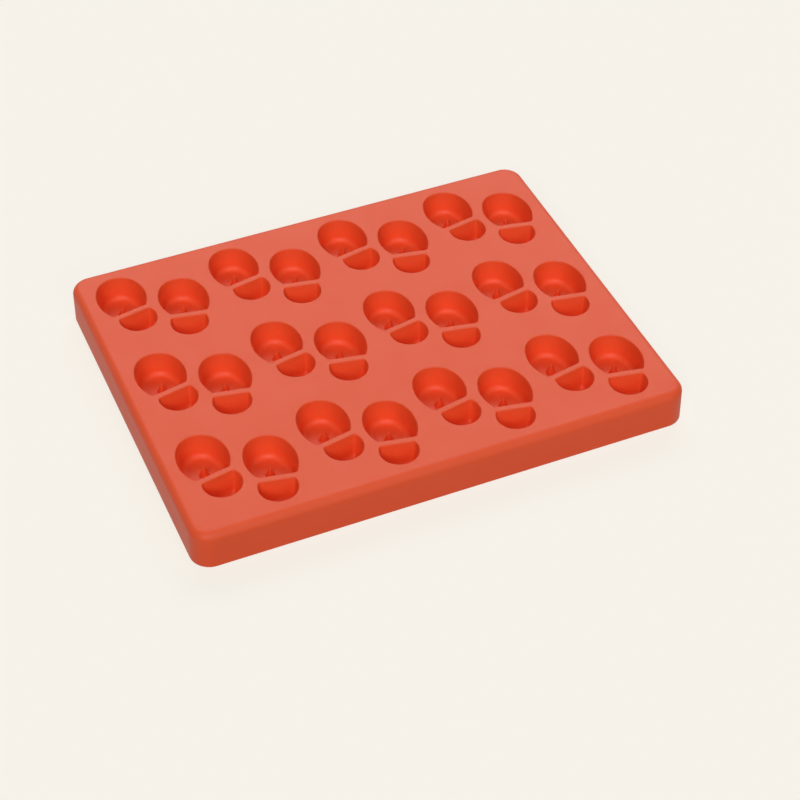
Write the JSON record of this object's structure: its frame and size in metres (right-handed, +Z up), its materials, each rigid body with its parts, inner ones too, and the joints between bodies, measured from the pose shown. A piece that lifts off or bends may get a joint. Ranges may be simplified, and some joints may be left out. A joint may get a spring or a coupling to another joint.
{
  "type": "chocolate mold",
  "caption": "Flexible one-piece tray with a rounded rim and skirt, and rows of paired footprint cavities for casting small chocolates.",
  "frame": {"origin": "middle of the tray on the surface that it stands on", "axes": "+X along the long side, +Y away from the front, towards the toes of the footprints, +Z up out of the cavities"},
  "size_m": [0.2512, 0.1974, 0.02],
  "materials": {
    "silicone": "satin smooth moulded silicone rubber, orange red"
  },
  "bodies": {
    "root": {"rim_and_skirt": "silicone", "back_row_left_feet": "silicone", "back_row_right_feet": "silicone", "middle_row_left_feet": "silicone", "middle_row_right_feet": "silicone", "front_row_left_feet": "silicone", "front_row_right_feet": "silicone"}
  },
  "joints": []
}
